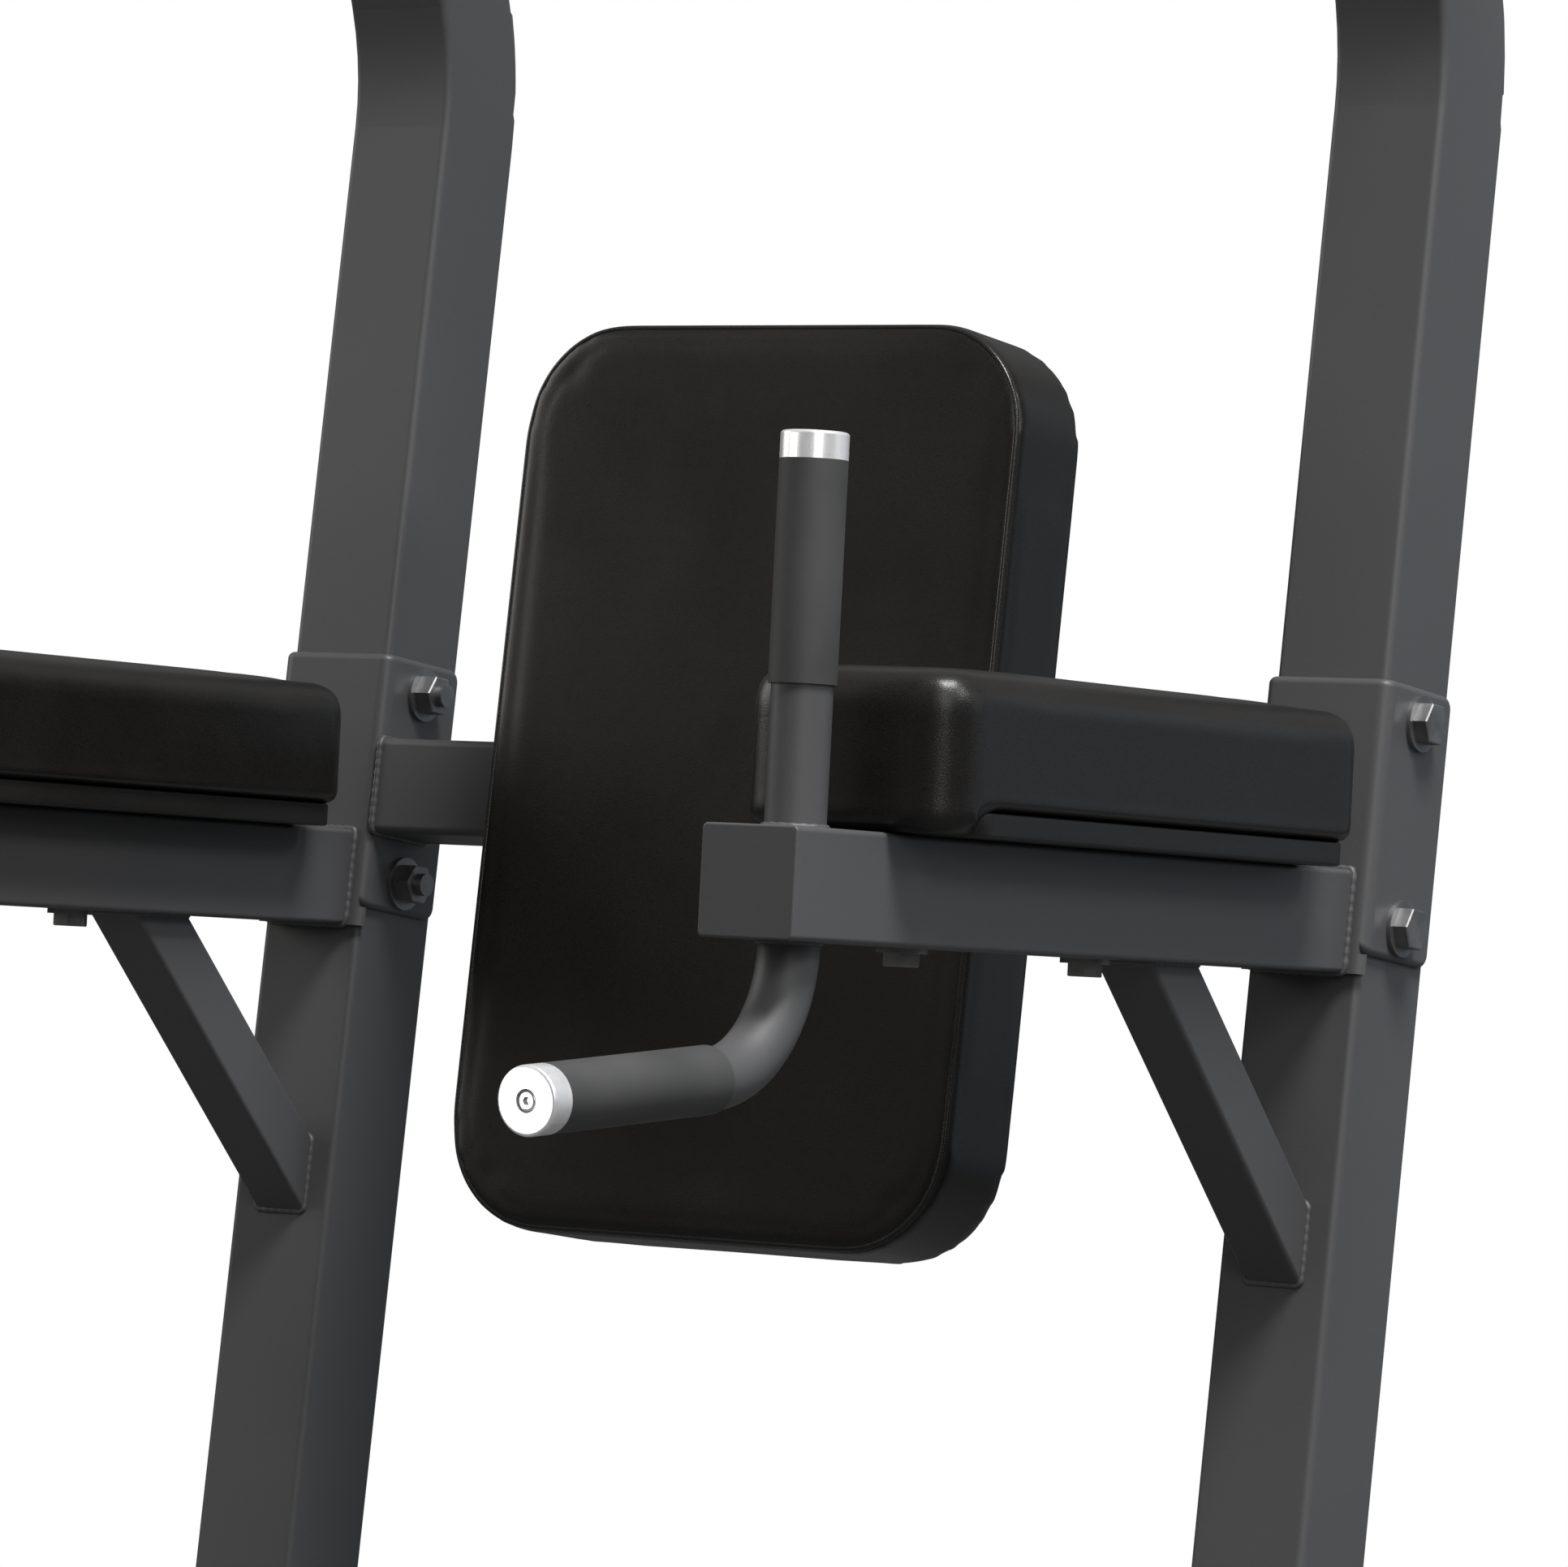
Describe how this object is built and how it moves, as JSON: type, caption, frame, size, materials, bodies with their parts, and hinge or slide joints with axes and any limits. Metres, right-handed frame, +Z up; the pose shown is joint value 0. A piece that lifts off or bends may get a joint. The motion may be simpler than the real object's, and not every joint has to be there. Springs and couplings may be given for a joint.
{
  "type": "power tower",
  "caption": "Free-standing frame with a pull-up bar, padded backrest, armrests and dip handles for body-weight exercise.",
  "frame": {"origin": "floor level, in the middle of the machine's overall box across and front to back; the uprights' centre lines meet the floor 0.0559 m behind it", "axes": "+X across the machine, towards the right as seen from in front of it; +Y towards the back; +Z up. Someone leaning on the backrest faces -Y. Names with left and right mean the -X and +X sides."},
  "size_m": [1.1502, 1.0398, 2.1187],
  "materials": {
    "frame_paint": "satin charcoal powder coat",
    "vinyl": "soft-sheen black vinyl over foam",
    "board": "black-backed plywood",
    "rubber_grip": "matte rubber sleeve",
    "cap_metal": "satin turned aluminium",
    "cap_screw": "polished screw",
    "steel_fastener": "plain grey steel",
    "zinc": "zinc-plated steel",
    "plug_plastic": "black moulded plastic",
    "foot_rubber": "black rubber"
  },
  "bodies": {
    "root": {"arm_end_plates": "frame_paint", "arm_left": "frame_paint", "arm_right": "frame_paint", "armrest_boards": "vinyl", "armrest_bolts": "steel_fastener", "armrest_left": "vinyl", "armrest_right": "vinyl", "armrest_washers": "steel_fastener", "backrest_board": "board", "backrest_bolts": "steel_fastener", "backrest_crossbar": "frame_paint", "backrest_cushion": "vinyl", "backrest_washers": "steel_fastener", "brace_left": "frame_paint", "brace_right": "frame_paint", "bracket_bolts": "steel_fastener", "bracket_left": "frame_paint", "bracket_nuts": "steel_fastener", "bracket_right": "frame_paint", "bracket_washers": "steel_fastener", "dip_cap_screws": "cap_screw", "dip_end_caps": "cap_metal", "dip_grips": "rubber_grip", "foot_lock_nuts": "zinc", "foot_plate_bolts": "steel_fastener", "foot_plate_nuts": "steel_fastener", "foot_plate_washers": "steel_fastener", "foot_plates": "frame_paint", "foot_weld_nuts": "zinc", "handle_left": "frame_paint", "handle_right": "frame_paint", "lower_crossbar": "frame_paint", "pullup_bar": "frame_paint", "pullup_cap_screws": "cap_screw", "pullup_centre_grips": "rubber_grip", "pullup_end_caps": "cap_metal", "pullup_end_grips": "rubber_grip", "rear_cross_tube": "frame_paint", "runner_end_caps": "plug_plastic", "runner_left": "frame_paint", "runner_right": "frame_paint", "stay_left": "frame_paint", "stay_right": "frame_paint", "step_peg_sleeves": "rubber_grip", "step_pegs": "frame_paint", "upper_cap_screws": "cap_screw", "upper_end_caps": "cap_metal", "upper_grips": "rubber_grip", "upright_left": "frame_paint", "upright_right": "frame_paint", "upright_top_plugs": "plug_plastic"},
    "foot_front_left": {"foot_pad_front_left": "foot_rubber", "foot_stud_front_left": "zinc"},
    "foot_front_right": {"foot_pad_front_right": "foot_rubber", "foot_stud_front_right": "zinc"},
    "foot_rear_left": {"foot_pad_rear_left": "foot_rubber", "foot_stud_rear_left": "zinc"},
    "foot_rear_right": {"foot_pad_rear_right": "foot_rubber", "foot_stud_rear_right": "zinc"}
  },
  "joints": [
    {"name": "level_front_left", "type": "slide", "parent": "root", "child": "foot_front_left", "axis": [0, 0, -1], "range_m": [0, 0.012]},
    {"name": "level_front_right", "type": "slide", "parent": "root", "child": "foot_front_right", "axis": [0, 0, -1], "range_m": [0, 0.012]},
    {"name": "level_rear_left", "type": "slide", "parent": "root", "child": "foot_rear_left", "axis": [0, 0, -1], "range_m": [0, 0.012]},
    {"name": "level_rear_right", "type": "slide", "parent": "root", "child": "foot_rear_right", "axis": [0, 0, -1], "range_m": [0, 0.012]}
  ]
}
